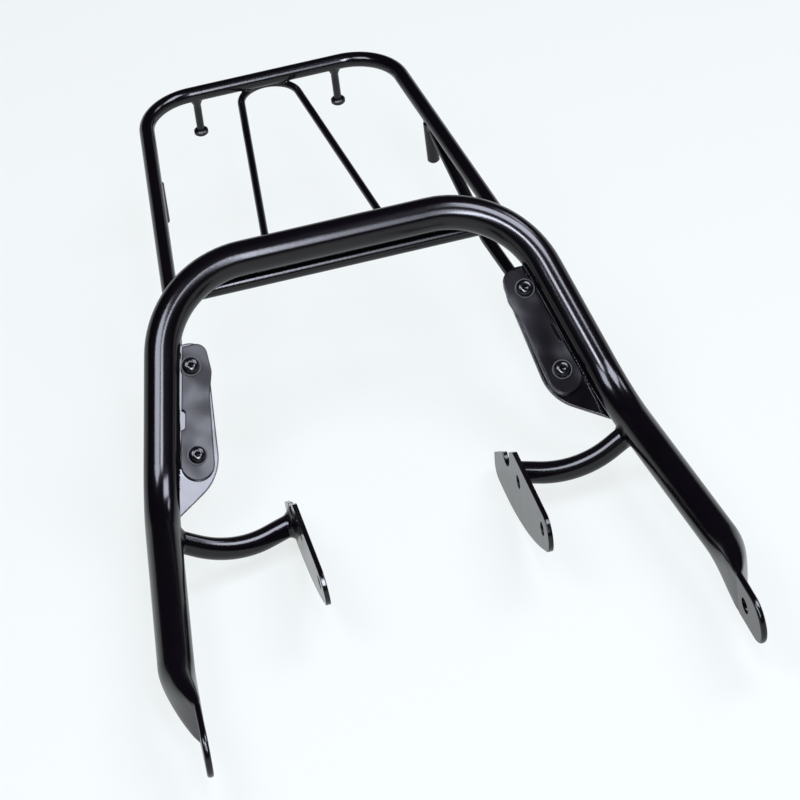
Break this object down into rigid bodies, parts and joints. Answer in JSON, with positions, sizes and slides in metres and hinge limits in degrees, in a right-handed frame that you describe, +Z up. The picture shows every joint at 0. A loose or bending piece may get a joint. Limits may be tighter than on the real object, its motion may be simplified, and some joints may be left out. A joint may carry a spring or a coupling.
{
  "type": "motorcycle luggage rack",
  "caption": "Motorcycle luggage rack: a bent grab-bar hoop with flattened fixing ends and bowed side-plate arms, carrying a level rod platform with lashing pegs.",
  "frame": {"origin": "centre of the plan outline, at the level of the side plates' lowest edges", "axes": "+X to the rider's left, +Y to the rear, +Z up as mounted, with the platform level"},
  "size_m": [0.3592, 0.5742, 0.1441],
  "materials": {
    "black_paint": "gloss black paint on steel tube, rod and plate",
    "black_fastener": "black coated steel fasteners"
  },
  "bodies": {
    "root": {"hoop_tube": "black_paint", "left_leg_end": "black_paint", "right_leg_end": "black_paint", "left_gusset_plate": "black_paint", "right_gusset_plate": "black_paint", "left_arm_tube": "black_paint", "right_arm_tube": "black_paint", "left_arm_plate": "black_paint", "right_arm_plate": "black_paint", "rack_rail": "black_paint", "crossbar": "black_paint", "inner_loop_rod": "black_paint", "left_strut": "black_paint", "right_strut": "black_paint", "left_pad_plate": "black_paint", "right_pad_plate": "black_paint", "rear_left_peg": "black_paint", "rear_right_peg": "black_paint", "side_left_peg": "black_paint", "side_right_peg": "black_paint", "rack_bolts": "black_fastener", "bolt_washers": "black_fastener", "bolt_nuts": "black_fastener"}
  },
  "joints": []
}
